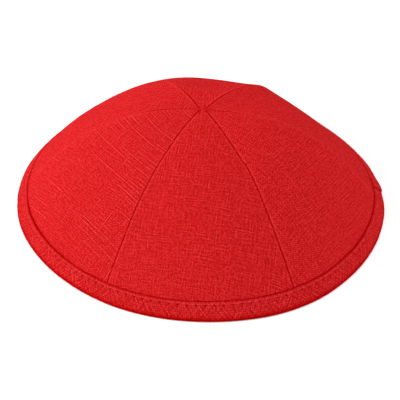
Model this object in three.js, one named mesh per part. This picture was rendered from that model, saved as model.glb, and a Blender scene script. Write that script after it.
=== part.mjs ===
// Six-panel linen kippah: wedge panels that meet at the top, and a folded strip bound over the rim.
// Millimetres and degrees. +Z is up, the rim rests on z = 0, and the wearer's front is towards -Y.
import * as THREE from 'three';

// Overall size
const rimRadius = 85;        // mean radius outside the cloth, rim down on a table
const rimOval = 2.1;         // the rim is this much longer and shorter than the mean, on its two axes
const ovalAxis = 117;        // azimuth of the long axis
const rimLobe = 0.7;         // and it bulges this much at the front and at two places behind
const lobeAxis = -90;        // azimuth of the front one
const lobeShift = 0.6;       // everything stands this far back, which centres the lobed rim
const crownHeight = 50.3;    // table to the top of the crown
const crownFullness = 2.4;   // 2 is a plain paraboloid; more keeps the top flat and the sides steep
const apexShift = 1.0;       // the panels meet a little right of the rim's centre

// How much further out the rim stands than that even shape, changing smoothly from row to row
const rimBulges = [
  { azimuth: -165, out: 0.8 },
  { azimuth: -120, out: 0.55 },
  { azimuth: -90, out: -0.15 },
  { azimuth: -60, out: 1.05 },
  { azimuth: -30, out: 0.1 },
  { azimuth: 0, out: 0.3 },
  { azimuth: 60, out: 0.4 },
  { azimuth: 120, out: 0.3 },
  { azimuth: 165, out: 0.1 },
];

// Cloth and the folded strip
const panelWall = 1.2;       // crown cloth with its seam allowances pressed open
const stripWall = 0.9;       // the strip is folded double
const stripRise = 6.9;       // height of the strip's upper edge, 8.6 mm measured up the slope
const stripProud = 0.4;      // how far its face stands out from the crown cloth
const stripInsideRise = 6.2; // the leg inside the cap stops a little lower
const pieceGap = 0.3;        // clear space kept between neighbouring pieces
const footChamfer = 0.9;     // the fold at the rim is rounded off over this height

// The strip's end laps over its start here, on the right side. The lapped stretch stands out most at
// the end's own edge, and thins out behind it.
const stripJoin = { azimuth: 3.5, edge: 0.4, hold: 2, fade: 8, rise: 0.5 };

// Mesh fineness
const columnsPerPanel = 12;
const crownRows = 14;
const tipShare = 0.012;      // the panels stop just short of the very top

// A row for each seam, going round from the front left. ridge lifts the cloth widely along the seam,
// and fold lifts it in a sharp line.
const seams = [
  { name: 'front_left', azimuth: -120, ridge: -0.7, fold: 0.6 },
  { name: 'front_right', azimuth: -61.3, ridge: -0.4, fold: 0.1 },
  { name: 'right', azimuth: -4.6, ridge: 1.0, fold: 0 },
  { name: 'back_right', azimuth: 59, ridge: -0.3, fold: 0.9 },
  { name: 'back_left', azimuth: 115, ridge: 0.9, fold: -0.8 },
  { name: 'left', azimuth: 176.7, ridge: 0.3, fold: 0.3 },
];

// A row for each panel, starting at the seam of the same row. belly lifts its middle, where less is
// flatter, and skirt lifts its middle low down.
const panels = [
  { name: 'panel_front', belly: 0, skirt: -0.2 },
  { name: 'panel_front_right', belly: 1.8, skirt: -0.4 },
  { name: 'panel_back_right', belly: -3.0, skirt: -0.5 },
  { name: 'panel_back', belly: -0.7, skirt: 0.4 },
  { name: 'panel_back_left', belly: 0.2, skirt: 0 },
  { name: 'panel_front_left', belly: 0.1, skirt: 0.7 },
];

// How those lifts spread: a fold falls away in foldReach, and a skirt is a band at this share
const foldReach = 7;
const skirtBand = { share: 0.8, spread: 0.13 };

// Soft hollows in the crown: where each one is centred, how deep it is, and how far it spreads. A depth
// below zero is a swelling.
const hollows = [
  { name: 'beside_back_right_seam', azimuth: 74, share: 0.42, depth: 2.3, reach: 11 },
  { name: 'front_near_left_seam', azimuth: -111, share: 0.82, depth: 1.05, reach: 10 },
  { name: 'front_left_seam_low', azimuth: -120, share: 0.8, depth: -0.4, reach: 11 },
  { name: 'front_top', azimuth: -78, share: 0.3, depth: 0.4, reach: 11 },
  { name: 'front_right_top', azimuth: -33, share: 0.3, depth: 0.9, reach: 11 },
  { name: 'front_left_middle', azimuth: -144, share: 0.5, depth: 0.6, reach: 11 },
  { name: 'front_left_low', azimuth: -140, share: 0.8, depth: 0.7, reach: 11 },
  { name: 'back_left_middle', azimuth: 148, share: 0.55, depth: 0.6, reach: 11 },
  { name: 'back_left_low', azimuth: 150, share: 0.85, depth: -0.5, reach: 11 },
  { name: 'back_middle', azimuth: 96, share: 0.5, depth: -0.5, reach: 11 },
  { name: 'back_right_middle', azimuth: 24, share: 0.5, depth: -0.8, reach: 11 },
];

const cloth = { color: 0xc8222a, roughness: 0.92, metalness: 0.0 };
const stripCloth = { color: 0xc41f26, roughness: 0.9, metalness: 0.0 };

const rimSlope = Math.atan(crownHeight * crownFullness / rimRadius);
const panelTuck = stripWall - stripProud + pieceGap;
const radians = THREE.MathUtils.degToRad;
const smooth = THREE.MathUtils.smoothstep;

function crownSlope(share) {
  return Math.atan(crownHeight * crownFullness * share ** (crownFullness - 1) / rimRadius);
}

function heightAtShare(share) {
  return crownHeight * (1 - share ** crownFullness);
}

function shareAtHeight(height) {
  return (1 - height / crownHeight) ** (1 / crownFullness);
}

// The seam that starts each panel, and the next one round, unwound past 360 where it wraps
function panelSpan(index) {
  const start = seams[index];
  const next = seams[(index + 1) % seams.length];
  const end = next.azimuth < start.azimuth ? next.azimuth + 360 : next.azimuth;
  return { start, next, from: start.azimuth, to: end };
}

// The same azimuth in the turn that starts at a table's first row
function turnedPast(first, azimuth) {
  return THREE.MathUtils.euclideanModulo(azimuth - first, 360) + first;
}

function rimBulge(azimuth) {
  const turned = turnedPast(rimBulges[0].azimuth, azimuth);
  const index = rimBulges.findLastIndex((row) => row.azimuth <= turned);
  const row = rimBulges[index];
  const next = rimBulges[(index + 1) % rimBulges.length];
  const end = next.azimuth < row.azimuth ? next.azimuth + 360 : next.azimuth;
  return THREE.MathUtils.lerp(row.out, next.out, smooth(turned, row.azimuth, end));
}

// How far the cloth stands out from the even crown, before the soft hollows
function panelSwell(azimuth, share) {
  const turned = turnedPast(seams[0].azimuth, azimuth);
  const index = panels.findIndex((panel, at) => turned < panelSpan(at).to);
  const { start, next, from, to } = panelSpan(index);
  const across = (turned - from) / (to - from);
  const arch = 4 * across * (1 - across);
  const seamLine = THREE.MathUtils.lerp(start.ridge, next.ridge, across);
  const wide = seamLine + (panels[index].belly - (start.ridge + next.ridge) / 2) * arch;
  const wideFade = Math.sin(Math.PI * share ** 1.15) * smooth(share, 0, 0.3);
  const skirtFade = Math.exp(-(((share - skirtBand.share) / skirtBand.spread) ** 2));

  const radius = share * rimRadius;
  const folds = start.fold * Math.exp(-radians(turned - from) * radius / foldReach)
    + next.fold * Math.exp(-radians(to - turned) * radius / foldReach);
  const foldFade = smooth(share, 0.2, 0.6) * (1 - share ** 6);
  return wide * wideFade + panels[index].skirt * arch * skirtFade + folds * foldFade;
}

function hollowDepth(azimuth, share) {
  let depth = 0;
  for (const hollow of hollows) {
    const turn = radians(azimuth - hollow.azimuth);
    const away = Math.hypot(share - hollow.share * Math.cos(turn), hollow.share * Math.sin(turn));
    depth += hollow.depth * Math.exp(-0.5 * (away * rimRadius / hollow.reach) ** 2);
  }
  return depth;
}

// A point of the crown: its azimuth, its share of the way out to the rim, and the inset in from
// the outer face, square to it
function crownPoint(azimuth, share, inset) {
  const slope = crownSlope(share);
  const out = panelSwell(azimuth, share) - (1 - share ** 6) * hollowDepth(azimuth, share) - inset;
  const oval = rimOval * Math.cos(2 * radians(azimuth - ovalAxis));
  const lobes = rimLobe * Math.cos(3 * radians(azimuth - lobeAxis));
  const rimShape = oval + lobes + rimBulge(azimuth);
  const reach = share * (rimRadius + rimShape * share ** 3) + Math.sin(slope) * out;
  return new THREE.Vector3(
    reach * Math.cos(radians(azimuth)) + apexShift * (1 - share * share),
    reach * Math.sin(radians(azimuth)) + lobeShift,
    heightAtShare(share) + Math.cos(slope) * out,
  );
}

// The same near the rim, but asked for by its height above the table, where it is pressed flat
function rimPoint(azimuth, height, inset) {
  const share = Math.min(1, shareAtHeight(Math.max(0, height + inset * Math.cos(rimSlope))));
  const point = crownPoint(azimuth, share, inset);
  if (height === 0) point.z = 0;
  return point;
}

// The triangles of a grid of points. at gives a point's number, and rows or columns may close round.
function gridFaces(rowCount, columnCount, at, closedRows, closedColumns) {
  const faces = [];
  const lastRow = closedRows ? rowCount : rowCount - 1;
  const lastColumn = closedColumns ? columnCount : columnCount - 1;
  for (let row = 0; row < lastRow; row += 1) {
    for (let column = 0; column < lastColumn; column += 1) {
      const below = (row + 1) % rowCount;
      const right = (column + 1) % columnCount;
      faces.push(at(row, column), at(below, column), at(below, right));
      faces.push(at(row, column), at(below, right), at(row, right));
    }
  }
  return faces;
}

function makeMesh(name, points, faces, finish) {
  const geometry = new THREE.BufferGeometry();
  geometry.setFromPoints(points);
  geometry.setIndex(faces);
  geometry.computeVertexNormals();
  const mesh = new THREE.Mesh(geometry, new THREE.MeshStandardMaterial(finish));
  mesh.name = name;
  return mesh;
}

// Rows down a panel: even steps over the crown, then the tuck in under the strip, then its lower edge
const tuckStart = shareAtHeight(stripRise + 1.6);
const tuckEnd = shareAtHeight(stripRise + 0.5);
const hemShare = shareAtHeight(2.9);
const panelShares = [];
for (let row = 0; row <= crownRows; row += 1) {
  panelShares.push(THREE.MathUtils.lerp(tipShare, tuckStart, row / crownRows));
}
panelShares.push(tuckEnd, hemShare);

// The azimuths of a panel's columns at one row, half a gap in from the seam on each side
function columnAzimuths(index, share) {
  const { from, to } = panelSpan(index);
  const seamAllowance = THREE.MathUtils.radToDeg(Math.asin(pieceGap / 2 / (share * rimRadius)));
  const azimuths = [];
  for (let column = 0; column <= columnsPerPanel; column += 1) {
    azimuths.push(THREE.MathUtils.lerp(from + seamAllowance, to - seamAllowance, column / columnsPerPanel));
  }
  return azimuths;
}

// A panel is one wall of cloth: an outer and an inner grid of points joined round all four sides
function makePanel(index) {
  const rowCount = panelShares.length;
  const columnCount = columnsPerPanel + 1;
  const points = [];
  for (const side of [0, panelWall]) {
    for (const share of panelShares) {
      const tuck = panelTuck * smooth(share, tuckStart, tuckEnd);
      for (const azimuth of columnAzimuths(index, share)) {
        points.push(crownPoint(azimuth, share, tuck + side));
      }
    }
  }
  const outer = (row, column) => row * columnCount + column;
  const inner = (row, column) => rowCount * columnCount + outer(row, column);
  const faces = gridFaces(rowCount, columnCount, outer, false, false);
  faces.push(...gridFaces(rowCount, columnCount, inner, false, false).reverse());

  // the edge all the way round, as a loop of grid places
  const edge = [];
  for (let row = 0; row < rowCount - 1; row += 1) edge.push([row, 0]);
  for (let column = 0; column < columnCount - 1; column += 1) edge.push([rowCount - 1, column]);
  for (let row = rowCount - 1; row > 0; row -= 1) edge.push([row, columnCount - 1]);
  for (let column = columnCount - 1; column > 0; column -= 1) edge.push([0, column]);
  edge.forEach((place, step) => {
    const next = edge[(step + 1) % edge.length];
    faces.push(outer(...place), inner(...place), inner(...next));
    faces.push(outer(...place), inner(...next), outer(...next));
  });
  return makeMesh(panels[index].name, points, faces, cloth);
}

// The strip's section, down the outside, across the foot and up the inside, then back down the channel
const innerFace = panelTuck + panelWall + pieceGap;
const stripBack = innerFace + stripWall;
const stripSection = [
  { height: stripRise, inset: stripWall - stripProud, lap: 0 },
  { height: stripRise, inset: 0.1, lap: 0.5 },
  { height: stripRise - 0.5, inset: -stripProud, lap: 1 },
  { height: stripRise / 2, inset: -stripProud, lap: 1 },
  { height: footChamfer, inset: -stripProud, lap: 1 },
  { height: 0, inset: 0.3, lap: 1 },
  { height: 0, inset: stripBack - 0.6, lap: 0 },
  { height: footChamfer, inset: stripBack, lap: 0 },
  { height: stripInsideRise - 0.4, inset: stripBack, lap: 0 },
  { height: stripInsideRise, inset: stripBack - 0.4, lap: 0 },
  { height: stripInsideRise, inset: innerFace, lap: 0 },
  { height: 1.1, inset: innerFace, lap: 0 },
  { height: 1.1, inset: stripWall - stripProud, lap: 0 },
];

// Stations round the rim: every panel column, with extra ones where the lap starts
function stripAzimuths() {
  const azimuths = [];
  panels.forEach((panel, index) => {
    const { from, to } = panelSpan(index);
    for (let column = 0; column < columnsPerPanel; column += 1) {
      azimuths.push(THREE.MathUtils.lerp(from, to, column / columnsPerPanel));
    }
  });
  const { azimuth, edge, hold } = stripJoin;
  azimuths.push(azimuth, azimuth + edge, azimuth + hold);
  return azimuths.sort((one, other) => one - other);
}

function lapRise(azimuth) {
  const behind = azimuth - stripJoin.azimuth;
  const thinning = smooth(behind, stripJoin.hold, stripJoin.fade);
  return stripJoin.rise * smooth(behind, 0, stripJoin.edge) * (1 - thinning);
}

function makeStrip() {
  const azimuths = stripAzimuths();
  const points = [];
  for (const azimuth of azimuths) {
    for (const { height, inset, lap } of stripSection) {
      points.push(rimPoint(azimuth, height, inset - lap * lapRise(azimuth)));
    }
  }
  const at = (station, place) => station * stripSection.length + place;
  const faces = gridFaces(azimuths.length, stripSection.length, at, true, true).reverse();
  return makeMesh('rim_binding', points, faces, stripCloth);
}

const kippah = new THREE.Group();
panels.forEach((panel, index) => kippah.add(makePanel(index)));
kippah.add(makeStrip());

export default kippah;
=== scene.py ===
from bisect import bisect
from math import atan, atan2, cos, degrees, exp, hypot, pi, radians, sin, sqrt

import bmesh
import bpy
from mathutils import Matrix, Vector, noise


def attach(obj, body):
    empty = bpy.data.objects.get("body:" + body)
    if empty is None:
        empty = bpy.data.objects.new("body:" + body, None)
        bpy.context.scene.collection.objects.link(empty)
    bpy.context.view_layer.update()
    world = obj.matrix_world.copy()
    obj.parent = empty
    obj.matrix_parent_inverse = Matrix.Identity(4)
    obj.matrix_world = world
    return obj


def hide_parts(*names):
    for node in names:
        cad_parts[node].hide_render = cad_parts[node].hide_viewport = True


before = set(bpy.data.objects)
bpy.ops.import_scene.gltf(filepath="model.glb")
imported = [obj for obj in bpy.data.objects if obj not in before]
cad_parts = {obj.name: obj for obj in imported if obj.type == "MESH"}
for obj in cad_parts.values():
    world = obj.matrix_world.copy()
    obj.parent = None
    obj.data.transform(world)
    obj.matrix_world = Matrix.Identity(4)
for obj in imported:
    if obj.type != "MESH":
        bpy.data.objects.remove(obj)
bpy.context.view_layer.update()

# The crown's even shape, with the same values as the part's source
crown = {
    "rimRadius": 0.085,
    "rimOval": 0.0021,        # the rim is this much longer and shorter than its mean
    "ovalAxis": 117,
    "rimLobe": 0.0007,        # and bulges this much at the front and at two places behind
    "lobeAxis": -90,
    "lobeShift": 0.0006,
    "rimShapePower": 3,       # more brings the rim's own shape in lower down
    "height": 0.0503,
    "fullness": 2.4,          # 2 is a paraboloid; more is flatter on top and steeper at the rim
    "apexShift": 0.0010,
    "swellStart": 0.3,        # a panel's swell is at its full strength from here down
    "swellSkew": 1.15,        # above 1 it is largest below the middle
    "foldReach": 0.007,       # how far from its seam a fold falls away
    "foldStart": (0.2, 0.6),  # and where it comes in, on the way down
    "rimHold": 6,             # more keeps folds and hollows up closer to the rim
    "skirtShare": 0.8,        # a panel's skirt lifts a band here
    "skirtSpread": 0.13,
}

# How much further out the rim stands than that, by azimuth, changing smoothly from one to the next
rimBulges = [
    (-165, 0.0008), (-120, 0.00055), (-90, -0.00015), (-60, 0.00105), (-30, 0.0001),
    (0, 0.0003), (60, 0.0004), (120, 0.0003), (165, 0.0001),
]

# A row for each seam, from the front left. ridge lifts the cloth widely along it, and fold in a sharp
# line. tip is where the seam ends on top, tight is how far down its valley closes up, if it does, and
# jog is a small sideways step in the sewing: how far down, how far.
leftTip, rightTip = (-0.0011, 0.0002), (0.0011, -0.0002)
seams = [
    {"azimuth": -120, "ridge": -0.0007, "fold": 0.0006, "tip": leftTip},
    {"azimuth": -61.3, "ridge": -0.0004, "fold": 0.0001, "tip": rightTip, "jog": (0.036, 0.0005)},
    {"azimuth": -4.6, "ridge": 0.0010, "fold": 0, "tip": rightTip, "tight": 0.006},
    {"azimuth": 59, "ridge": -0.0003, "fold": 0.0009, "tip": rightTip},
    {"azimuth": 115, "ridge": 0.0009, "fold": -0.0008, "tip": leftTip, "tight": 0.014},
    {"azimuth": 176.7, "ridge": 0.0003, "fold": 0.0003, "tip": leftTip, "tight": 0.018},
]

# A row for each panel, which starts at the seam of the same row. belly lifts its middle, and skirt
# lifts its middle low down. grain is how far its threads are turned from its middle line, and slubs
# is how strongly its piece of linen shows the thick threads.
panels = [
    {"name": "panel_front", "belly": 0, "skirt": -0.0002, "grain": -9, "slubs": 0.15},
    {"name": "panel_front_right", "belly": 0.0018, "skirt": -0.0004, "grain": 0, "slubs": 0.15},
    {"name": "panel_back_right", "belly": -0.0030, "skirt": -0.0005, "grain": 4, "slubs": 0.2},
    {"name": "panel_back", "belly": -0.0007, "skirt": 0.0004, "grain": -3, "slubs": 0.5},
    {"name": "panel_back_left", "belly": 0.0002, "skirt": 0, "grain": 2, "slubs": 0.5},
    {"name": "panel_front_left", "belly": 0.0001, "skirt": 0.0007, "grain": 6.5, "slubs": 1.0},
]

# Soft hollows: each one's azimuth and share of the way down, how deep it is, and how far it spreads.
# Below zero it swells.
hollows = [
    (74, 0.42, 0.0023, 0.011), (-111, 0.82, 0.00105, 0.010), (-120, 0.8, -0.0004, 0.011),
    (-78, 0.3, 0.0004, 0.011), (-33, 0.3, 0.0009, 0.011), (-144, 0.5, 0.0006, 0.011),
    (-140, 0.8, 0.0007, 0.011), (148, 0.55, 0.0006, 0.011), (150, 0.85, -0.0005, 0.011),
    (96, 0.5, -0.0005, 0.011), (24, 0.5, -0.0008, 0.011),
]

# How the panels are sewn and how the cloth lies
cloth = {
    "wall": 0.0012,
    "edgeRoll": 0.00036,      # radius that the cloth turns in over at a seam
    "seamGap": 0.00003,       # left open between two panels, in the depth of the seam
    "allowance": 0.0050,      # width of the pressed-open seam allowance under each side
    "allowanceRise": 0.00012,
    "allowanceStep": 0.0003,  # and how far it stands out on the inside
    "pucker": 0.00010,        # the sewing draws the cloth in by this much
    "puckerPitch": 0.0026,
    "puckerReach": 0.0009,
    "gather": 1.4,            # wider gathers, this many times as deep as a pucker
    "gatherReach": 0.0030,
    "slack": 0.00016,         # low undulation all over
    "slackPitch": 0.016,
    "wander": 0.00022,        # the seams stray sideways by this much
    "wanderPitch": 0.014,
    "jogRun": 0.0018,         # a jog is this long
    "jogBack": (0.004, 0.03),  # and the seam comes back into line between these lengths below it
    "tightening": 0.85,       # a tight seam's valley loses this share of itself
    "tightRun": 0.016,        # over this length
    "knot": 0.00030,          # the gathered seam ends lift the cloth at the top
    "knotReach": 0.0014,
    "weftBend": 0.6,          # 0 is right round the crown with it, 1 is straight across from above
}

# The folded strip round the rim
strip = {
    "wall": 0.0009,
    "rise": 0.0069,           # height of its upper edge
    "proud": 0.0004,          # how far its face stands out from the crown cloth
    "insideRise": 0.0062,
    "gap": 0.0003,
    "footChamfer": 0.0009,
    "belly": 0.00018,         # it is rounded out a little between its edges
    "ridge": 0.00010,         # the folded edge stands up in a low ridge above the stitches
    "ridgeDrop": 0.0006,
    "ridgeWidth": 0.0004,
    "edgeWave": 0.00012,      # its upper edge isn't quite even
    "waveStart": (0.003, 0.0062),
    "rimWave": 0.00016,
    "roping": 0.00007,        # slanting ripples
    "ropingPitch": 0.0021,
    "ropingSlant": 0.9,
    "calmFoot": (0.0002, 0.0012),  # its relief starts between these heights above the floor
    "slubs": 0.6,
}

# The row of stitches along the strip
stitching = {
    "count": 134,
    "drop": 0.00125,          # below the strip's upper edge, down the slope
    "stationsPerStitch": 10,
    "closeUp": 0.6,           # how much closer together the stations are at the needle holes
    "valley": 0.00014,
    "valleyWidth": 0.0004,
    "holeDepth": 0.00045,
    "holeLength": 0.00050,
    "holeWidth": 0.00034,
    "puff": 0.00006,          # the cloth swells between the needle holes
    "puffReach": 0.0012,
    "threadRadius": 0.00014,
    "threadSpan": (0.08, 0.92),  # how far into its pitch a stitch comes up, and goes down again
    "threadLift": 0.00008,
    "threadSink": 0.00034,    # how far its ends are drawn down, from there on towards them
    "threadSinkStart": 0.55,
    "threadTaper": 0.25,
    "threadTilt": 0.00006,
}

# The strip's end laps over its start here, with a slanting edge, and thins out behind it. In degrees
# round the rim, except for rise.
join = {"azimuth": 3.1, "slant": 3.7, "edge": 0.25, "hold": 2, "fade": 8, "rise": 0.0005}

rimSteepness = crown["height"] * crown["fullness"] / crown["rimRadius"]
rimSlope = atan(rimSteepness)
stripWidth = strip["rise"] / sin(rimSlope)
panelTuck = strip["wall"] - strip["proud"] + strip["gap"]
innerFace = panelTuck + cloth["wall"] + strip["gap"]
stripBack = innerFace + strip["wall"]


def smoothStep(value, low, high):
    along = min(1.0, max(0.0, (value - low) / (high - low)))
    return along * along * (3 - 2 * along)


def blend(start, end, share):
    return start + (end - start) * share


def hump(value, width):
    return exp(-(value / width) ** 2)


def waver(x, y, z):
    # smooth noise from about -1 to 1, which is always the same in the same place
    return noise.noise(Vector((x, y, z)))


def crownSlope(share):
    return atan(rimSteepness * share ** (crown["fullness"] - 1))


def heightAtShare(share):
    return crown["height"] * (1 - share ** crown["fullness"])


def shareAtHeight(height):
    return (1 - height / crown["height"]) ** (1 / crown["fullness"])


def panelSpan(index):
    start = seams[index]["azimuth"]
    end = seams[(index + 1) % len(seams)]["azimuth"]
    return start, end + 360 if end < start else end


def turnedPast(first, azimuth):
    # the same azimuth in the turn that starts at a table's first row
    return (azimuth - first) % 360 + first


def rimBulge(azimuth):
    turned = turnedPast(rimBulges[0][0], azimuth)
    index = max(at for at, (start, out) in enumerate(rimBulges) if start <= turned)
    start, out = rimBulges[index]
    end, nextOut = rimBulges[(index + 1) % len(rimBulges)]
    end += 360 if index == len(rimBulges) - 1 else 0
    return blend(out, nextOut, smoothStep(turned, start, end))


def awayFromRim(share):
    # 1 over most of the crown and 0 at its rim, which the strip holds in shape
    return 1 - share ** crown["rimHold"]


def panelSwell(azimuth, share):
    # how far the cloth stands out from the even crown, before the soft hollows
    turned = turnedPast(seams[0]["azimuth"], azimuth)
    index = next(at for at in range(len(panels)) if turned < panelSpan(at)[1])
    start, end = panelSpan(index)
    across = (turned - start) / (end - start)
    arch = 4 * across * (1 - across)
    first, second = seams[index], seams[(index + 1) % len(seams)]
    wide = blend(first["ridge"], second["ridge"], across)
    wide += (panels[index]["belly"] - (first["ridge"] + second["ridge"]) / 2) * arch
    wideFade = sin(pi * share ** crown["swellSkew"]) * smoothStep(share, 0, crown["swellStart"])
    skirt = panels[index]["skirt"] * arch * hump(share - crown["skirtShare"], crown["skirtSpread"])
    radius = share * crown["rimRadius"]
    folds = (first["fold"] * exp(-radians(turned - start) * radius / crown["foldReach"])
             + second["fold"] * exp(-radians(end - turned) * radius / crown["foldReach"]))
    folds *= smoothStep(share, *crown["foldStart"])
    return wide * wideFade + skirt + folds * awayFromRim(share)


def polarSpot(azimuth, share):
    return share * cos(radians(azimuth)), share * sin(radians(azimuth))


hollowSpots = [(*polarSpot(azimuth, share), *size) for azimuth, share, *size in hollows]


def hollowDepth(azimuth, share):
    x, y = polarSpot(azimuth, share)
    depth = 0
    for spotX, spotY, deepest, reach in hollowSpots:
        away = hypot(x - spotX, y - spotY) * crown["rimRadius"]
        depth += deepest * exp(-0.5 * (away / reach) ** 2)
    return depth


def crownPoint(azimuth, share, inset):
    # share is the share of the way out from the top to the rim, inset is in from the outer face
    slope = crownSlope(share)
    out = panelSwell(azimuth, share) - awayFromRim(share) * hollowDepth(azimuth, share) - inset
    oval = crown["rimOval"] * cos(2 * radians(azimuth - crown["ovalAxis"]))
    lobes = crown["rimLobe"] * cos(3 * radians(azimuth - crown["lobeAxis"]))
    rimShape = (oval + lobes + rimBulge(azimuth)) * share ** crown["rimShapePower"]
    reach = share * (crown["rimRadius"] + rimShape) + sin(slope) * out
    return Vector((
        reach * cos(radians(azimuth)) + crown["apexShift"] * (1 - share * share),
        reach * sin(radians(azimuth)) + crown["lobeShift"],
        heightAtShare(share) + cos(slope) * out,
    ))


def rimPoint(azimuth, height, inset):
    # the same near the rim, asked for by its height above the floor
    share = min(1, shareAtHeight(max(0, height + inset * cos(rimSlope))))
    point = crownPoint(azimuth, share, inset)
    point.z = max(0, point.z)
    return point


def meridian(steps):
    # the way down from the top over the cloth, as shares and lengths
    shares = [step / steps for step in range(steps + 1)]
    lengths = [0]
    for above, below in zip(shares, shares[1:]):
        drop = heightAtShare(above) - heightAtShare(below)
        lengths.append(lengths[-1] + hypot((below - above) * crown["rimRadius"], drop))
    return shares, lengths


meridianShares, meridianLengths = meridian(400)


def readOff(value, known, wanted):
    # straight-line reading between two rising rows of numbers
    high = bisect(known, value, 1, len(known) - 1)
    low = high - 1
    along = (value - known[low]) / (known[high] - known[low])
    return blend(wanted[low], wanted[high], along)


def lengthAtShare(share):
    return readOff(share, meridianShares, meridianLengths)


def shareAtLength(length):
    return readOff(length, meridianLengths, meridianShares)


def stripEdgeHeight(azimuth):
    turn = radians(azimuth)
    wave = waver(9 * cos(turn), 9 * sin(turn), 3.1)
    fine = waver(31 * cos(turn), 31 * sin(turn), 7.7)
    return strip["rise"] + strip["edgeWave"] * (wave + 0.5 * fine)


def seamAzimuth(index, share, length):
    # a seam strays a little from its straight line down the crown
    seam = seams[index % len(seams)]
    aside = cloth["wander"] * waver(length / cloth["wanderPitch"], 11.3 * (index % len(seams)), 0.5)
    if "jog" in seam:
        down, step = seam["jog"]
        backFrom, backAt = cloth["jogBack"]
        back = smoothStep(length, down + backFrom, down + backAt)
        aside += step * smoothStep(length, down, down + cloth["jogRun"]) * (1 - back)
    aside *= smoothStep(share, 0, 0.15)   # straight at the top, where the seams meet
    return degrees(aside / max(0.002, share * crown["rimRadius"]))


def seamOpen(index, length):
    # how open a seam's valley is: some seams close up further down
    tight = seams[index % len(seams)].get("tight")
    if tight is None:
        return 1
    return 1 - cloth["tightening"] * smoothStep(length, tight, tight + cloth["tightRun"])


def seamDip(away, length, index):
    # how far the outer face drops near a seam, at this distance from it
    roll = cloth["edgeRoll"] * seamOpen(index, length)
    dip = roll - sqrt(roll * roll - (roll - away) ** 2) if away < roll else 0
    seed = 5.7 * (index % len(seams))
    stitches = waver(length / cloth["puckerPitch"], seed, 1.9)
    gathers = waver(length / (3 * cloth["puckerPitch"]), seed, 8.4)
    dip += cloth["pucker"] * (0.6 + 1.2 * stitches) * hump(away, cloth["puckerReach"])
    dip += cloth["pucker"] * cloth["gather"] * gathers * hump(away, cloth["gatherReach"])
    band = 1 - smoothStep(away, 0.8 * cloth["allowance"], 1.15 * cloth["allowance"])
    return dip - cloth["allowanceRise"] * band   # the seam allowance below lifts the cloth a little


def clothSlack(place):
    low = noise.noise(place / cloth["slackPitch"] + Vector((3.3, 1.7, 9.1)))
    high = noise.noise(place / (0.4 * cloth["slackPitch"]) + Vector((7.9, 4.2, 0.6)))
    return cloth["slack"] * (low + 0.35 * high)


# How finely a panel is cut up: the columns in shares of its width, the rows in lengths
panelMesh = {
    "seamStep": 0.0012,
    "middleStep": 0.0085,
    "seamReach": 0.05,        # the columns open out over this much beside a seam
    "rowStep": 0.00075,
    "closeStep": 0.00020,     # where the panel goes in under the strip
    "closeReach": 0.0014,
    "topCloseness": 0.6,      # how nearly as close the rows are at the top
    "topReach": 0.0030,
    "hemHeight": 0.0029,      # its lower edge, inside the strip
}


def spacedAcross():
    # shares of the way across a panel, close together near both seams
    reach = panelMesh["seamReach"]
    half = [0.0]
    while half[-1] < 0.5:
        opened = smoothStep(half[-1], -0.2 * reach, reach)
        half.append(half[-1] + blend(panelMesh["seamStep"], panelMesh["middleStep"], opened))
    half = [place * 0.5 / half[-1] for place in half]
    return half + [1 - place for place in reversed(half[:-1])]


def spacedDown(edgeLength, end):
    # lengths down a panel, close together at the top and where it goes in under the strip
    lengths = [0.0]
    while lengths[-1] < end:
        nearEdge = hump(lengths[-1] - edgeLength, panelMesh["closeReach"])
        nearTop = panelMesh["topCloseness"] * hump(lengths[-1], panelMesh["topReach"])
        step = blend(panelMesh["rowStep"], panelMesh["closeStep"], max(nearEdge, nearTop))
        lengths.append(lengths[-1] + step)
    return [length * end / lengths[-1] for length in lengths]


panelEnd = lengthAtShare(shareAtHeight(panelMesh["hemHeight"]))
panelColumns = spacedAcross()
panelRows = spacedDown(lengthAtShare(shareAtHeight(strip["rise"])), panelEnd)


def panelRow(index, length):
    # what all the points of one row across a panel share
    share = shareAtLength(length)
    start, end = panelSpan(index)
    start += seamAzimuth(index, share, length)
    end += seamAzimuth(index + 1, share, length)
    radius = max(1e-6, share * crown["rimRadius"])
    width = radians(end - start) * radius
    gap = min(0.45 * width, cloth["seamGap"] / 2)
    return length, share, start, end, radius, width, gap


# The painted shade in a seam and above the strip, and the paler band that runs beside a seam, partly
# wear and partly painted highlight
panelShading = {
    "valley": 1.25,
    "valleyWidth": 0.00026,   # half width of the painted shade in a seam
    "valleyUneven": 0.4,      # it comes and goes by this much along the sewing
    "valleyPitch": 0.0019,
    "groove": 1.0,            # painted shade where the cloth goes in under the strip
    "grooveWidth": 0.00045,
    "grooveMiddle": 0.0001,
    "sideGroove": 1.5,        # how much more of it there is at the left and the right
    "sideWidth": 0.0005,
    "sideFocus": 3,
    # the paler band beside a seam: wear, and a painted highlight that is stronger on one side
    "wearAway": 0.0008,
    "wearWidth": 0.0004,
    "wearSecond": 0.4,        # how strong it is on a seam's other side
    "fleckPitch": 0.0011,
}


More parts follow.
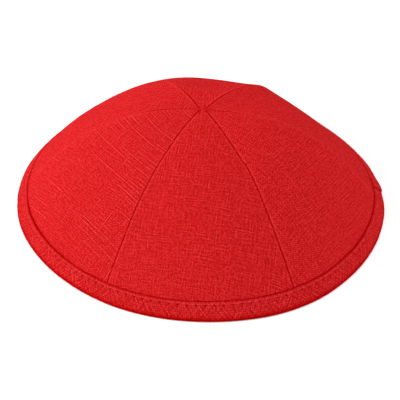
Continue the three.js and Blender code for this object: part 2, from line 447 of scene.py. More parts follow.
def panelShade(index, azimuth, length, toStart, toEnd, above, even):
    # how much painted shade a point of a panel takes in a crease, and how pale its wear and painted
    # highlight make it
    look = panelShading
    seamIndex = index if toStart < toEnd else index + 1
    uneven = waver(length / look["valleyPitch"], 7.7 * (seamIndex % len(seams)), 2.6)
    valley = seamOpen(seamIndex, length) * hump(min(toStart, toEnd), look["valleyWidth"])
    valley *= look["valley"] + look["valleyUneven"] * uneven
    aside = abs(cos(radians(azimuth))) ** look["sideFocus"]
    groove = look["groove"] + look["sideGroove"] * aside
    groove *= hump(above - look["grooveMiddle"], look["grooveWidth"] + look["sideWidth"] * aside)
    creaseShade = max(valley, groove) * smoothStep(length, 0.0002, 0.0012)   # no painted shade at the very top

    wearAndHighlight = hump(toStart - look["wearAway"], look["wearWidth"])
    wearAndHighlight += look["wearSecond"] * hump(toEnd - look["wearAway"], look["wearWidth"])
    fleck = 0.5 + noise.noise(even / look["fleckPitch"])
    wearAndHighlight *= fleck * smoothStep(length, 0.002, 0.008)
    return creaseShade, wearAndHighlight


def panelPlace(index, across, row, inside):
    # where a point of a panel lies, where it was on the flat cloth, its painted shade in a crease,
    # and its wear and painted highlight
    length, share, start, end, radius, width, gap = row
    azimuth = blend(start + degrees(gap / radius), end - degrees(gap / radius), across)
    toStart = gap + across * (width - 2 * gap)
    toEnd = width - toStart
    toSeam = min(toStart, toEnd)

    height = heightAtShare(share)
    above = (height - stripEdgeHeight(azimuth)) / sin(rimSlope)
    even = Vector((radius * cos(radians(azimuth)), radius * sin(radians(azimuth)), height))
    inset = panelTuck * (1 - smoothStep(above, -0.0002, 0.0006))
    if inside:
        band = 1 - smoothStep(toSeam, cloth["allowance"], cloth["allowance"] + 0.0006)
        inset += cloth["wall"] + cloth["allowanceStep"] * band * smoothStep(above, 0.0005, 0.0030)
    else:
        inset += max(seamDip(toStart, length, index), seamDip(toEnd, length, index + 1))
        inset -= clothSlack(even) * smoothStep(toSeam, 0, 0.004) * smoothStep(above, 0, 0.004)
    place = crownPoint(azimuth, share, inset)
    tips = [seams[(index + step) % len(seams)]["tip"] for step in (0, 1)]
    fade = (1 - share) ** 2
    place.x += fade * blend(tips[0][0], tips[1][0], across)
    place.y += fade * blend(tips[0][1], tips[1][1], across)
    place.z += cloth["knot"] * hump(length, cloth["knotReach"])

    # a wedge is cut with its threads nearly along its middle line, and its weft bends partly round
    fromMiddle = radians(blend(start, end, across) - (start + end) / 2 - panels[index]["grain"])
    flat = (radius * sin(fromMiddle), lengthAtShare(share * cos(fromMiddle) ** cloth["weftBend"]))
    return place, flat, *panelShade(index, azimuth, length, toStart, toEnd, above, even)


def panelCut(index):
    # the size that a panel is cut to, and the area of the wedge
    start, end = panelSpan(index)
    span = radians(end - start)
    width = 2 * shareAtLength(panelEnd) * crown["rimRadius"] * sin(span / 2)
    area = 0
    for above, below in zip(panelRows, panelRows[1:]):
        area += span * shareAtLength((above + below) / 2) * crown["rimRadius"] * (below - above)
    return (width, panelEnd), area


sharpFold = radians(50)   # a mesh edge that turns further than this stays sharp


def addObject(name, data):
    made = bpy.data.objects.new(name, data)
    bpy.context.scene.collection.objects.link(made)
    return made


def finishMesh(bm, name, material):
    bm.normal_update()
    for face in bm.faces:
        face.smooth = True
    for edge in bm.edges:
        edge.smooth = edge.calc_face_angle(0) < sharpFold
    mesh = bpy.data.meshes.new(name)
    bm.to_mesh(mesh)
    bm.free()
    mesh.materials.append(material)
    return addObject(name, mesh)


def clothLayers(bm):
    # what the linen's material reads from each point of the mesh: its painted shade, its wear and
    # painted highlight, and its slubs
    return [bm.verts.layers.float.new(name) for name in ("creaseShade", "wearAndHighlight", "slubs")]


def sewPanel(index, material):
    bm = bmesh.new()
    across = len(panelColumns) - 1
    down = len(panelRows) - 1
    bmesh.ops.create_grid(bm, x_segments=across, y_segments=down, size=0.5)
    raised = bmesh.ops.extrude_face_region(bm, geom=bm.faces[:])["geom"]
    lifted = [item for item in raised if isinstance(item, bmesh.types.BMVert)]
    bmesh.ops.translate(bm, verts=lifted, vec=(0, 0, 1))
    bmesh.ops.recalc_face_normals(bm, faces=bm.faces[:])

    creaseShades, wearAndHighlights, slubs = clothLayers(bm)
    rows = [panelRow(index, length) for length in panelRows]
    flats = {}
    for vert in bm.verts:
        vert[slubs] = panels[index]["slubs"]
        column = round((vert.co.x + 0.5) * across)
        row = round((0.5 - vert.co.y) * down)
        inside = vert.co.z < 0.5
        vert.co, flats[vert], vert[creaseShades], vert[wearAndHighlights] = panelPlace(
            index, panelColumns[column], rows[row], inside)
    layer = bm.loops.layers.uv.new("cloth")
    for face in bm.faces:
        for loop in face.loops:
            loop[layer].uv = flats[loop.vert]
    bmesh.ops.remove_doubles(bm, verts=bm.verts[:], dist=0.000002)
    return finishMesh(bm, "linen_" + panels[index]["name"], material)


# The strip's section, down the outside, across the foot, up the inside and down the channel: each
# corner's height above the floor, how far in from the crown's outer face it is, and its rounding
stripSection = [
    (strip["rise"], strip["wall"] - strip["proud"], 0.0003),
    (strip["rise"], -0.5 * strip["proud"], 0.00035),
    (strip["rise"] - 0.0006, -strip["proud"], 0.0004),
    (strip["footChamfer"], -strip["proud"], 0.0005),
    (0.0001, 0.0004, 0.0005),
    (0, 0.0010, 0.0003),
    (0, stripBack - 0.0008, 0.0003),
    (strip["footChamfer"], stripBack, 0.0004),
    (strip["insideRise"] - 0.0004, stripBack, 0.0003),
    (strip["insideRise"], stripBack - 0.0004, 0.0002),
    (strip["insideRise"], innerFace, 0.0001),
    (0.0011, innerFace, 0.0001),
    (0.0011, strip["wall"] - strip["proud"], 0.0001),
]


def lapBehind(azimuth, drop):
    # how far round a point is behind the lapped end's slanting edge
    edge = join["azimuth"] + join["slant"] * (drop / stripWidth - 0.5)
    return (azimuth - edge + 180) % 360 - 180


def lapRise(azimuth, drop):
    behind = lapBehind(azimuth, drop)
    thinning = smoothStep(behind, join["hold"], join["fade"])
    return join["rise"] * smoothStep(behind, 0, join["edge"]) * (1 - thinning)


def stitchPhase(azimuth):
    # 0 at a needle hole, 0.5 in the middle of a stitch
    return (azimuth / 360 * stitching["count"]) % 1


def needleHole(azimuth, across):
    # 1 in the middle of a needle hole and 0 away from it
    phase = stitchPhase(azimuth)
    fromHole = min(phase, 1 - phase) * 2 * pi * crown["rimRadius"] / stitching["count"]
    return hump(across, stitching["holeWidth"]) * hump(fromHole, stitching["holeLength"])


def roping(azimuth, drop):
    # slanting ripples, because the strip is cut on the bias
    turn = radians(azimuth) + strip["ropingSlant"] * drop / crown["rimRadius"]
    around = crown["rimRadius"] / strip["ropingPitch"]
    fine = waver(around * cos(turn), around * sin(turn), drop / 0.006)
    wide = waver(0.3 * around * cos(turn), 0.3 * around * sin(turn), 4.1 + drop / 0.009)
    return fine + wide


# The strip's painted shade in the needle holes, before the lap, along the stitches, behind its upper
# edge and down at its foot, and the paler band along its fold, partly wear and partly painted
# highlight
stripShading = {
    "hole": 2.0,
    "sideHole": -0.9,         # so much less at the left and the right
    "lap": 2.4,
    "lapAhead": 0.2,          # degrees
    "lapWidth": 0.25,
    "stitchLine": 0.2,
    "lineWidth": 0.0003,
    "foot": 1.4,
    "footHeights": (0.0006, 0.0028),
    "wearDrop": 0.0005,
    "wearWidth": 0.0004,
    "wearPatches": 45,        # more makes them smaller
}


def stripShade(azimuth, height, drop, outside):
    # how much painted shade a point of the strip takes, and how pale its wear and painted highlight
    # make it
    look = stripShading
    turn = radians(azimuth)
    across = drop - stitching["drop"]
    holes = (look["hole"] + look["sideHole"] * abs(cos(turn))) * needleHole(azimuth, across)
    lap = hump(lapBehind(azimuth, drop) + look["lapAhead"], look["lapWidth"]) * outside * look["lap"]
    stitchLine = look["stitchLine"] * hump(across, look["lineWidth"])
    behindEdge = hump(drop, look["lineWidth"]) * (1 - outside)
    # painted shade down by the floor, where the strip turns under
    foot = look["foot"] - look["foot"] * smoothStep(height, *look["footHeights"])
    patches = 0.5 + 0.5 * noise.noise(Vector((cos(turn), sin(turn), 0)) * look["wearPatches"])
    wearAndHighlight = hump(drop - look["wearDrop"], look["wearWidth"]) * outside * patches
    return max(holes, lap, stitchLine, behindEdge, foot), wearAndHighlight


def stripPlace(azimuth, height, inset):
    # where a point of the strip's even section lies on the real rim, its painted shade, and its wear
    # and painted highlight
    outside = 1 - smoothStep(inset, -0.0003, 0.0004)
    drop = (strip["rise"] - height) / sin(rimSlope)
    turn = radians(azimuth)
    across = drop - stitching["drop"]
    relief = strip["ridge"] * hump(drop - strip["ridgeDrop"], strip["ridgeWidth"])
    relief -= stitching["valley"] * hump(across, stitching["valleyWidth"])
    relief -= stitching["holeDepth"] * needleHole(azimuth, across)
    puff = stitching["puff"] * cos(2 * pi * stitchPhase(azimuth))
    relief -= puff * hump(across, stitching["puffReach"])
    relief += strip["belly"] * sin(pi * min(1, drop / stripWidth))
    relief += strip["roping"] * roping(azimuth, drop)
    relief *= outside * smoothStep(height, *strip["calmFoot"])
    relief += lapRise(azimuth, drop) * outside
    ring = Vector((cos(turn), sin(turn), 0))
    relief += strip["rimWave"] * noise.noise(ring * 5 + Vector((4.4, 0, 0)))
    wave = (stripEdgeHeight(azimuth) - strip["rise"]) * smoothStep(height, *strip["waveStart"])
    place = rimPoint(azimuth, height + wave, inset - relief)
    return place, *stripShade(azimuth, height, drop, outside)


# How far apart the section's points may be: closest where the stitches are
sectionSteps = {"inside": 0.0016, "outside": 0.00060, "stitches": 0.00020, "stitchReach": 0.0006}


def sectionStep(inset, height):
    if inset > 0.0003:
        return sectionSteps["inside"]
    fromStitches = abs((strip["rise"] - height) / sin(rimSlope) - stitching["drop"])
    return sectionSteps["stitches" if fromStitches < sectionSteps["stitchReach"] else "outside"]


def bindRim(material):
    bm = bmesh.new()
    corners = [bm.verts.new((inset, 0, height)) for height, inset, rounding in stripSection]
    for one, other in zip(corners, corners[1:] + corners[:1]):
        bm.edges.new((one, other))
    for corner, (height, inset, rounding) in zip(corners, stripSection):
        bmesh.ops.bevel(bm, geom=[corner], offset=rounding, segments=2, profile=0.5,
                        affect="VERTICES", material=-1)
    for halving in range(6):
        longEdges = []
        for edge in bm.edges:
            middle = (edge.verts[0].co + edge.verts[1].co) / 2
            if edge.calc_length() > sectionStep(middle.x, middle.z):
                longEdges.append(edge)
        bmesh.ops.subdivide_edges(bm, edges=longEdges, cuts=1)
    print("the strip's section has", len(bm.verts), "points")

    # the cloth's own length round the section, for its threads
    girths = bm.verts.layers.float.new("girth")
    first = min(bm.verts, key=lambda vert: (abs(vert.co.x), -vert.co.z))
    vert, edge, girth = first, first.link_edges[0], 0.0
    while True:
        vert[girths] = girth
        girth += edge.calc_length()
        vert = edge.other_vert(vert)
        if vert == first:
            break
        edge = next(other for other in vert.link_edges if other != edge)

    # swept round in as many steps as there are stitches, each then cut into finer stations
    insets = bm.verts.layers.float.new("inset")
    for vert in bm.verts:
        vert[insets] = vert.co.x
        vert.co.x = crown["rimRadius"] - vert.co.x
    bmesh.ops.spin(bm, geom=bm.verts[:] + bm.edges[:], cent=(0, 0, 0), axis=(0, 0, 1), dvec=(0, 0, 0),
                   angle=2 * pi, steps=stitching["count"], use_merge=True, use_duplicate=False)
    around = [edge for edge in bm.edges
              if abs(edge.verts[0].co.z - edge.verts[1].co.z) < 1e-7 and edge.calc_length() > 0.003]
    cuts = stitching["stationsPerStitch"] - 1
    bmesh.ops.subdivide_edges(bm, edges=around, cuts=cuts, use_grid_fill=True)
    bmesh.ops.recalc_face_normals(bm, faces=bm.faces[:])

    creaseShades, wearAndHighlights, slubs = clothLayers(bm)
    turns = {}
    for vert in bm.verts:
        vert[slubs] = strip["slubs"]
        station = degrees(atan2(vert.co.y, vert.co.x)) % 360 / 360 * stitching["count"]
        phase = station % 1
        phase -= stitching["closeUp"] * sin(2 * pi * phase) / (2 * pi)
        azimuth = (station // 1 + phase) / stitching["count"] * 360
        turns[vert] = azimuth
        vert.co, vert[creaseShades], vert[wearAndHighlights] = stripPlace(azimuth, vert.co.z, vert[insets])
    layer = bm.loops.layers.uv.new("cloth")
    for face in bm.faces:
        furthest = max(turns[vert] for vert in face.verts)
        lastGirth = max(vert[girths] for vert in face.verts)
        for loop in face.loops:
            turn = turns[loop.vert]
            turn += 360 if furthest - turn > 180 else 0
            along = loop.vert[girths]
            along += girth if lastGirth - along > girth / 2 else 0
            loop[layer].uv = (radians(turn) * crown["rimRadius"], along)
    return finishMesh(bm, "linen_rim_binding", material)


def sewStitches(material):
    # one thread from needle hole to needle hole, its ends drawn down into the cloth
    radius = stitching["threadRadius"]
    bm = bmesh.new()
    layer = bm.loops.layers.uv.new("cloth")
    bmesh.ops.create_cone(bm, cap_ends=True, segments=6, radius1=1, radius2=1, depth=1)
    longEdges = [edge for edge in bm.edges if abs(edge.verts[0].co.z - edge.verts[1].co.z) > 0.5]
    bmesh.ops.subdivide_edges(bm, edges=longEdges, cuts=7)
    for face in bm.faces:
        for loop in face.loops:
            spot = loop.vert.co
            loop[layer].uv = (spot.z * 0.004, atan2(spot.y, spot.x) * radius)   # stitches are 4 mm
    straight = bpy.data.meshes.new("straight_thread")
    bm.to_mesh(straight)
    bm.clear()
    for stitch in range(stitching["count"]):
        bm.from_mesh(straight)
        bm.verts.ensure_lookup_table()
        tilt = stitching["threadTilt"] * waver(stitch * 3.7, 0.4, 0)
        for vert in bm.verts[stitch * len(straight.vertices):]:
            along = vert.co.z + 0.5
            azimuth = (stitch + blend(*stitching["threadSpan"], along)) / stitching["count"] * 360
            end = abs(2 * along - 1)
            taper = 1 - stitching["threadTaper"] * end ** 6
            sunk = smoothStep(end, stitching["threadSinkStart"], 1)
            lift = stitching["threadLift"] - stitching["threadSink"] * sunk
            drop = stitching["drop"] + tilt * (2 * along - 1) + vert.co.y * radius * taper
            inset = -strip["proud"] - lift - vert.co.x * radius * taper
            relief = strip["belly"] * sin(pi * drop / stripWidth) - stitching["valley"]
            relief += strip["roping"] * roping(azimuth, drop)
            edgeShift = stripEdgeHeight(azimuth) - strip["rise"]
            height = strip["rise"] + edgeShift - drop * sin(rimSlope)
            vert.co = rimPoint(azimuth, height, inset - relief - lapRise(azimuth, drop))
    bpy.data.meshes.remove(straight)
    bm.normal_update()
    bmesh.ops.recalc_face_normals(bm, faces=bm.faces[:])
    return finishMesh(bm, "rim_stitches", material)


# Shader helpers: a value given for a socket is set on it, and another node's socket is linked to it
def addNode(tree, kind, inputs=None, **settings):
    made = tree.nodes.new(kind)
    for name, value in settings.items():
        setattr(made, name, value)
    for socket, value in (inputs or {}).items():
        if isinstance(value, bpy.types.NodeSocket):
            tree.links.new(value, made.inputs[socket])
        else:
            made.inputs[socket].default_value = value
    return made


def calc(tree, operation, *values):
    return addNode(tree, "ShaderNodeMath", dict(enumerate(values)), operation=operation).outputs[0]


def rescale(tree, value, fromLow, fromHigh, toLow=0.0, toHigh=1.0):
    inputs = {"Value": value, "From Min": fromLow, "From Max": fromHigh,
              "To Min": toLow, "To Max": toHigh}
    return addNode(tree, "ShaderNodeMapRange", inputs, interpolation_type="SMOOTHSTEP").outputs[0]


def flatNoise(tree, vector, scale, detail=1.0, roughness=0.5):
    inputs = {"Vector": vector, "Scale": scale, "Detail": detail, "Roughness": roughness}
    return addNode(tree, "ShaderNodeTexNoise", inputs, noise_dimensions="2D").outputs[0]


def mixColours(tree, factor, first, second, blendType="MIX"):
    # the mix node keeps its colour sockets after the plain ones
    mix = addNode(tree, "ShaderNodeMix", data_type="RGBA", blend_type=blendType)
    for socket, value in ((mix.inputs[0], factor), (mix.inputs[6], first), (mix.inputs[7], second)):
        if isinstance(value, bpy.types.NodeSocket):
            tree.links.new(value, socket)
        else:
            socket.default_value = (*value, 1) if isinstance(value, tuple) else value
    return mix.outputs[2]


def shiftSpot(tree, operation, spot, other):
    inputs = {0: spot, "Scale" if operation == "SCALE" else 1: other}
    return addNode(tree, "ShaderNodeVectorMath", inputs, operation=operation).outputs[0]


def flatSpot(tree, x, y):
    return addNode(tree, "ShaderNodeCombineXYZ", {"X": x, "Y": y}).outputs[0]


# The weave that both linens share. What is called a run is how often a thread changes in a metre.
weaving = {
    "stray": 0.0006,          # the threads wander by half of this to either side
    "strayRun": 60.0,
    "yarnRun": 130.0,
    "slubRun": 27.0,
    "laneThreads": 3.0,       # one thread of so many may be a slub
    "warpRare": 0.65,         # more makes slubs rarer
    "weftRare": 0.59,
    "slubEnds": 0.06,         # more draws their ends out longer
    "slubShadowGap": 0.9,           # less moves the painted shadows beside a slub closer to it
    "slubFade": (0.10, 0.42),
    "slubLeast": 0.4,         # at its weakest thread crossing, and how much more at its strongest
    "slubMore": 1.2,
    "checkLeast": 0.3,
    "checkMore": 1.4,
    "speckRare": (0.94, 0.98),
    "mottleRun": 45.0,
    "roundShade": 0.35,       # the gaps between the threads are darker by this much
    "ribHeight": 0.8,         # how much higher or lower each of these makes the surface
    "slubHeight": 0.25,
    "grainHeight": 0.2,
    "speckHeight": 0.4,
}


def layThreads(group, across, along, thread, rare, seed):
    # the threads that run one way: their number, how round and how pale each is, and their slubs
    place = calc(group, "DIVIDE", across, thread)
    number = calc(group, "FLOOR", place)
    rounding = calc(group, "ABSOLUTE", calc(group, "SINE", calc(group, "MULTIPLY", place, pi)))
    run = calc(group, "MULTIPLY", along, weaving["yarnRun"])
    tones = []
    for beside in (-1, 0, 1):
        threadSeed = calc(group, "MULTIPLY_ADD", number, 7.31, 7.31 * beside + seed)
        tones.append(flatNoise(group, flatSpot(group, threadSeed, run), 1.0, 2.0, 0.6))
    # a thread shows by how much it is paler or darker than the two beside it
    around = calc(group, "MULTIPLY", calc(group, "ADD", tones[0], tones[2]), 0.5)
    yarn = calc(group, "SUBTRACT", tones[1], around)

    # a slub is a long pale line with a painted shadow on either side, in the middle of its lane
    lane = calc(group, "DIVIDE", place, weaving["laneThreads"])
    laneSeed = calc(group, "MULTIPLY_ADD", calc(group, "FLOOR", lane), 9.17, 300.0 + seed)
    longRun = calc(group, "MULTIPLY", along, weaving["slubRun"])
    chance = flatNoise(group, flatSpot(group, laneSeed, longRun), 1.0, 1.0)
    slub = rescale(group, chance, rare, rare + weaving["slubEnds"])
    away = calc(group, "ABSOLUTE", calc(group, "SUBTRACT", calc(group, "FRACT", lane), 0.5))
    wave = calc(group, "COSINE", calc(group, "MULTIPLY", away, 3 * pi / weaving["slubShadowGap"]))
    line = calc(group, "MULTIPLY", wave, rescale(group, away, *weaving["slubFade"], 1.0, 0.0))
    return {"number": number, "rounding": rounding, "yarn": yarn,
            "slub": calc(group, "MULTIPLY", slub, line)}


def makeWeaveGroup():
    # a plain weave of slubby yarn on a flat map in metres, warp along its second axis
    group = bpy.data.node_groups.new("linenWeave", "ShaderNodeTree")
    face = group.interface
    face.new_socket(name="Vector", in_out="INPUT", socket_type="NodeSocketVector")
    for name in ("Thread", "Yarn", "Slub", "Check", "Grain", "Mottle", "Speck"):
        face.new_socket(name=name, in_out="INPUT", socket_type="NodeSocketFloat")
    for name in ("Shade", "Height"):
        face.new_socket(name=name, in_out="OUTPUT", socket_type="NodeSocketFloat")
    given = addNode(group, "NodeGroupInput").outputs

    # the threads wander a little
    straying = {"Vector": given["Vector"], "Scale": weaving["strayRun"], "Detail": 1.0}
    strayed = addNode(group, "ShaderNodeTexNoise", straying, noise_dimensions="2D").outputs["Color"]
    centred = shiftSpot(group, "SUBTRACT", strayed, (0.5, 0.5, 0.5))
    scaled = shiftSpot(group, "SCALE", centred, weaving["stray"])
    moved = shiftSpot(group, "ADD", given["Vector"], scaled)
    split = addNode(group, "ShaderNodeSeparateXYZ", {0: moved}).outputs
    warp = layThreads(group, split["X"], split["Y"], given["Thread"], weaving["warpRare"], 0.0)
    weft = layThreads(group, split["Y"], split["X"], given["Thread"], weaving["weftRare"], 40.0)

    # what the threads make where they cross; grain is the chance of each crossing
    parity = calc(group, "FLOORED_MODULO", calc(group, "ADD", warp["number"], weft["number"]), 2.0)
    crossing = calc(group, "MULTIPLY", warp["rounding"], weft["rounding"])
    ribs = calc(group, "ADD", warp["yarn"], weft["yarn"])
    slubs = calc(group, "ADD", warp["slub"], weft["slub"])
    cell = flatSpot(group, warp["number"], weft["number"])
    dice = addNode(group, "ShaderNodeTexWhiteNoise", {"Vector": cell}, noise_dimensions="2D").outputs
    grain = dice["Value"]
    slubGrain = calc(group, "MULTIPLY_ADD", grain, weaving["slubMore"], weaving["slubLeast"])
    slubs = calc(group, "MULTIPLY", slubs, slubGrain)
    chance = addNode(group, "ShaderNodeSeparateColor", {0: dice["Color"]}).outputs[2]
    speck = calc(group, "MULTIPLY", rescale(group, chance, *weaving["speckRare"]), crossing)
    mottle = flatNoise(group, given["Vector"], weaving["mottleRun"], 2.0, 0.5)
    checkGrain = calc(group, "MULTIPLY_ADD", grain, weaving["checkMore"], weaving["checkLeast"])
    check = calc(group, "MULTIPLY", calc(group, "SUBTRACT", parity, 0.5), crossing)
    check = calc(group, "MULTIPLY", check, checkGrain)

    # a shade of 0.5 is the cloth's own tone, and each of these lightens or darkens it
    parts = {"Yarn": ribs, "Slub": slubs, "Grain": calc(group, "SUBTRACT", grain, 0.5),
             "Mottle": calc(group, "SUBTRACT", mottle, 0.5), "Speck": speck, "Check": check}
    shade = 0.5
    for name, part in parts.items():
        shade = calc(group, "MULTIPLY_ADD", part, given[name], shade)
    rounded = calc(group, "SUBTRACT", crossing, 0.4)   # its mean over the cloth
    shade = calc(group, "MULTIPLY_ADD", rounded, weaving["roundShade"], shade)

    ribbed = calc(group, "MULTIPLY_ADD", ribs, weaving["ribHeight"], weaving["ribHeight"])
    height = calc(group, "MULTIPLY", crossing, ribbed)
    for name, part in {"slubHeight": slubs, "grainHeight": grain, "speckHeight": speck}.items():
        height = calc(group, "MULTIPLY_ADD", part, weaving[name], height)
    addNode(group, "NodeGroupOutput", {"Shade": shade, "Height": height})
    return group


# What a user would change in the two linens: the strip is the same cloth, cut on the bias. The tones
# are for the weave's darkest, middle and palest threads, and yarn to speck say how strong each is.
linens = {
    "crownLinen": {
        "dark": (0.34, 0.0014, 0.0022), "dyed": (0.60, 0.0100, 0.0118), "light": (0.88, 0.052, 0.057),
        "turn": 0, "thread": 0.00052,
        "yarn": 0.55, "slub": 0.65, "check": 0.45, "grain": 0.24, "mottle": 0.02, "speck": 0.30,
    },
    "stripLinen": {
        "dark": (0.31, 0.0014, 0.0022), "dyed": (0.58, 0.0100, 0.0118), "light": (0.86, 0.052, 0.057),
        "turn": 45, "thread": 0.00056,
        "yarn": 0.60, "slub": 0.30, "check": 0.30, "grain": 0.28, "mottle": 0.12, "speck": 0.30,
    },
}

# And in how both of them take their wear and painted highlight, their painted shade in a crease, and
# the light
linenFinish = {
    "wearAndHighlight": 0.5,              # how pale the wear and painted highlight make a place
    # the tone of the painted shade in a crease
    "creaseShadeTone": (0.78, 0.0, 0.0),
    "deepShadeFrom": 1.2,        # past this the painted shade in a crease takes on the second, darker tone too
    "deepShadeTone": (0.4, 0.4, 0.4),
    "bump": 0.7,
    "bumpHeight": 0.00018,
    "surface": {
        "Roughness": 0.9, "Diffuse Roughness": 0.7, "IOR": 1.1, "Specular IOR Level": 0.03,
        "Sheen Weight": 0.004, "Sheen Roughness": 0.5, "Sheen Tint": (1.0, 0.45, 0.45, 1),
    },
}


def emptyTree(holder):
    holder.use_nodes = True
    holder.node_tree.nodes.clear()
    return holder.node_tree


def newMaterial(name):
    material = bpy.data.materials.new(name)
    return material, emptyTree(material)


def readLayer(tree, name):
    return addNode(tree, "ShaderNodeAttribute", attribute_name=name).outputs["Fac"]


def readMap(tree):
    return addNode(tree, "ShaderNodeUVMap", uv_map="cloth").outputs[0]


def addBump(tree, height, finish):
    inputs = {"Height": height, "Strength": finish["bump"], "Distance": finish["bumpHeight"]}
    return addNode(tree, "ShaderNodeBump", inputs).outputs[0]


def addSurface(tree, inputs):
    skin = addNode(tree, "ShaderNodeBsdfPrincipled", inputs)
    addNode(tree, "ShaderNodeOutputMaterial", {"Surface": skin.outputs[0]})


def makeLinen(name, weave):
    cut, finish = linens[name], linenFinish
    material, tree = newMaterial(name)
    turning = {"Vector": readMap(tree), "Rotation": (0, 0, radians(cut["turn"]))}
    turned = addNode(tree, "ShaderNodeMapping", turning).outputs[0]
    threads = addNode(tree, "ShaderNodeGroup", node_tree=weave)
    tree.links.new(turned, threads.inputs["Vector"])
    for socket in ("Thread", "Yarn", "Check", "Grain", "Mottle", "Speck"):
        threads.inputs[socket].default_value = cut[socket.lower()]
    slubs = calc(tree, "MULTIPLY", readLayer(tree, "slubs"), cut["slub"])
    tree.links.new(slubs, threads.inputs["Slub"])

    dyeing = addNode(tree, "ShaderNodeValToRGB", {"Fac": threads.outputs["Shade"]})
    stops = dyeing.color_ramp.elements
    stops.new(0.5)
    for stop, tone in zip(stops, ("dark", "dyed", "light")):
        stop.color = (*cut[tone], 1)
    # paler with wear and painted highlight, then darkened by painted shade in creases, needle holes,
    # the lap and the foot
    paler = calc(tree, "MULTIPLY", readLayer(tree, "wearAndHighlight"), finish["wearAndHighlight"])
    wornAndHighlighted = mixColours(tree, paler, dyeing.outputs[0], cut["light"])
    creaseShade = readLayer(tree, "creaseShade")
    shaded = mixColours(tree, creaseShade, wornAndHighlighted, finish["creaseShadeTone"], "MULTIPLY")
    deeper = calc(tree, "SUBTRACT", creaseShade, finish["deepShadeFrom"])
    shaded = mixColours(tree, deeper, shaded, finish["deepShadeTone"], "MULTIPLY")
    bump = addBump(tree, threads.outputs["Height"], finish)
    addSurface(tree, {"Base Color": shaded, "Normal": bump, **finish["surface"]})
    return material


# The sewing thread: twisted, with painted shade between its plies
threadFinish = {
    "twistScale": 900.0,      # about 1,400 turns in a metre
    "plyGapShadeTone": (0.42, 0.0025, 0.0040),
    "plyTone": (0.62, 0.0060, 0.0080),
    "bump": 0.5,
    "bumpHeight": 0.00006,
    "surface": {"Roughness": 0.7, "Specular IOR Level": 0.2},
}


def makeThread():
    finish = threadFinish
    material, tree = newMaterial("sewingThread")
    inputs = {"Vector": readMap(tree), "Scale": finish["twistScale"]}
    twist = addNode(tree, "ShaderNodeTexWave", inputs, bands_direction="DIAGONAL").outputs["Fac"]
    tone = mixColours(tree, twist, finish["plyGapShadeTone"], finish["plyTone"])
    bump = addBump(tree, twist, finish)
    addSurface(tree, {"Base Color": tone, "Normal": bump, **finish["surface"]})
    return material


# The photo's frame: where the rim's centre shows in it, and how many pixels a metre has there
photo = {"size": 400, "elevation": 36, "distance": 0.8, "pixelsPerMetre": 2180,
         "originAt": (200.4, 202.1)}


def addCamera():
    lift = radians(photo["elevation"])
    centre = photo["size"] / 2
    right = Vector((1, 0, 0))
    up = Vector((0, sin(lift), cos(lift)))
    back = Vector((0, -cos(lift), sin(lift)))
    data = bpy.data.cameras.new("photo_camera")
    data.sensor_width = 36
    data.lens = photo["pixelsPerMetre"] * photo["distance"] / photo["size"] * data.sensor_width
    camera = addObject("photo_camera", data)
    camera.location = (back * photo["distance"]
                       + right * (centre - photo["originAt"][0]) / photo["pixelsPerMetre"]
                       + up * (photo["originAt"][1] - centre) / photo["pixelsPerMetre"])
    camera.rotation_euler = (pi / 2 - lift, 0, 0)
    bpy.context.scene.camera = camera


# Soft studio light: each lamp's direction from the object, how far off and how wide it is, its power
# and its colour
lamps = [
    {"name": "side_light", "azimuth": -176, "elevation": 15, "away": 1.4, "width": 1.0, "power": 25.2,
     "colour": (0.80, 1.0, 1.0)},
    {"name": "front_light", "azimuth": -50, "elevation": 70, "away": 1.4, "width": 1.0, "power": 11.8,
     "colour": (1.0, 1.0, 1.0)},
]

# The pale room's own light: its level all round, how much more of it comes from overhead, and from
# behind. Below zero more of it comes from the front.
surround = {"level": 0.24, "overhead": 0.28, "behind": -0.10}


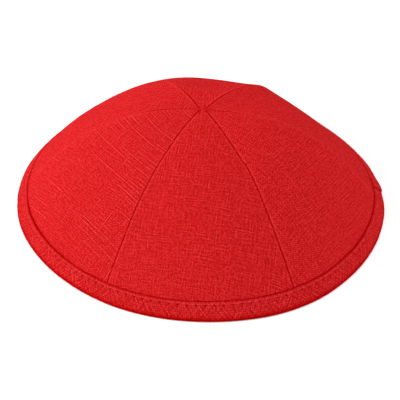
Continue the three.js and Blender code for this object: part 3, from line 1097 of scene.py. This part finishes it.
def addLamps():
    for lamp in lamps:
        data = bpy.data.lights.new(lamp["name"], "AREA")
        data.size = lamp["width"]
        data.energy = lamp["power"]
        data.color = lamp["colour"]
        light = addObject(lamp["name"], data)
        turn, lift = radians(lamp["azimuth"]), radians(lamp["elevation"])
        toLight = Vector((cos(turn) * cos(lift), sin(turn) * cos(lift), sin(lift)))
        light.location = toLight * lamp["away"]
        light.rotation_euler = toLight.to_track_quat("Z", "Y").to_euler()
        light.visible_camera = False
    world = bpy.data.worlds.new("pale_room")
    tree = emptyTree(world)
    toSky = addNode(tree, "ShaderNodeTexCoord").outputs["Generated"]
    way = addNode(tree, "ShaderNodeSeparateXYZ", {0: toSky}).outputs
    strength = calc(tree, "MULTIPLY_ADD", way["Z"], surround["overhead"], surround["level"])
    strength = calc(tree, "MULTIPLY_ADD", way["Y"], surround["behind"], strength)
    glow = addNode(tree, "ShaderNodeBackground", {"Color": (1, 1, 1, 1), "Strength": strength})
    addNode(tree, "ShaderNodeOutputWorld", {"Surface": glow.outputs[0]})
    bpy.context.scene.world = world


# A faint glow keeps the floor white right up to the rim, as in the photo
floor = {
    "halfWidth": 1.5,
    "surface": {"Base Color": (0.94, 0.94, 0.94, 1), "Roughness": 0.9, "Specular IOR Level": 0.1,
                "Emission Color": (1, 1, 1, 1), "Emission Strength": 0.16},
}


def addFloor():
    material, tree = newMaterial("paleFloor")
    addSurface(tree, floor["surface"])
    bm = bmesh.new()
    bmesh.ops.create_grid(bm, x_segments=1, y_segments=1, size=floor["halfWidth"])
    finishMesh(bm, "floor", material)


bpy.context.scene.view_settings.view_transform = "Standard"
addCamera()
addLamps()
addFloor()
print("camera, lamps and floor are placed")

weave = makeWeaveGroup()
crownLinen = makeLinen("crownLinen", weave)
stripLinen = makeLinen("stripLinen", weave)
for index, panel in enumerate(panels):
    piece = sewPanel(index, crownLinen)
    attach(piece, "root")
    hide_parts(panel["name"])
    flat, area = panelCut(index)
print("panels are sewn:", len(panelColumns), "columns by", len(panelRows), "rows")

binding = bindRim(stripLinen)
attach(binding, "root")
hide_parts("rim_binding")
stitches = sewStitches(makeThread())
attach(stitches, "root")
print("the rim is bound and stitched")
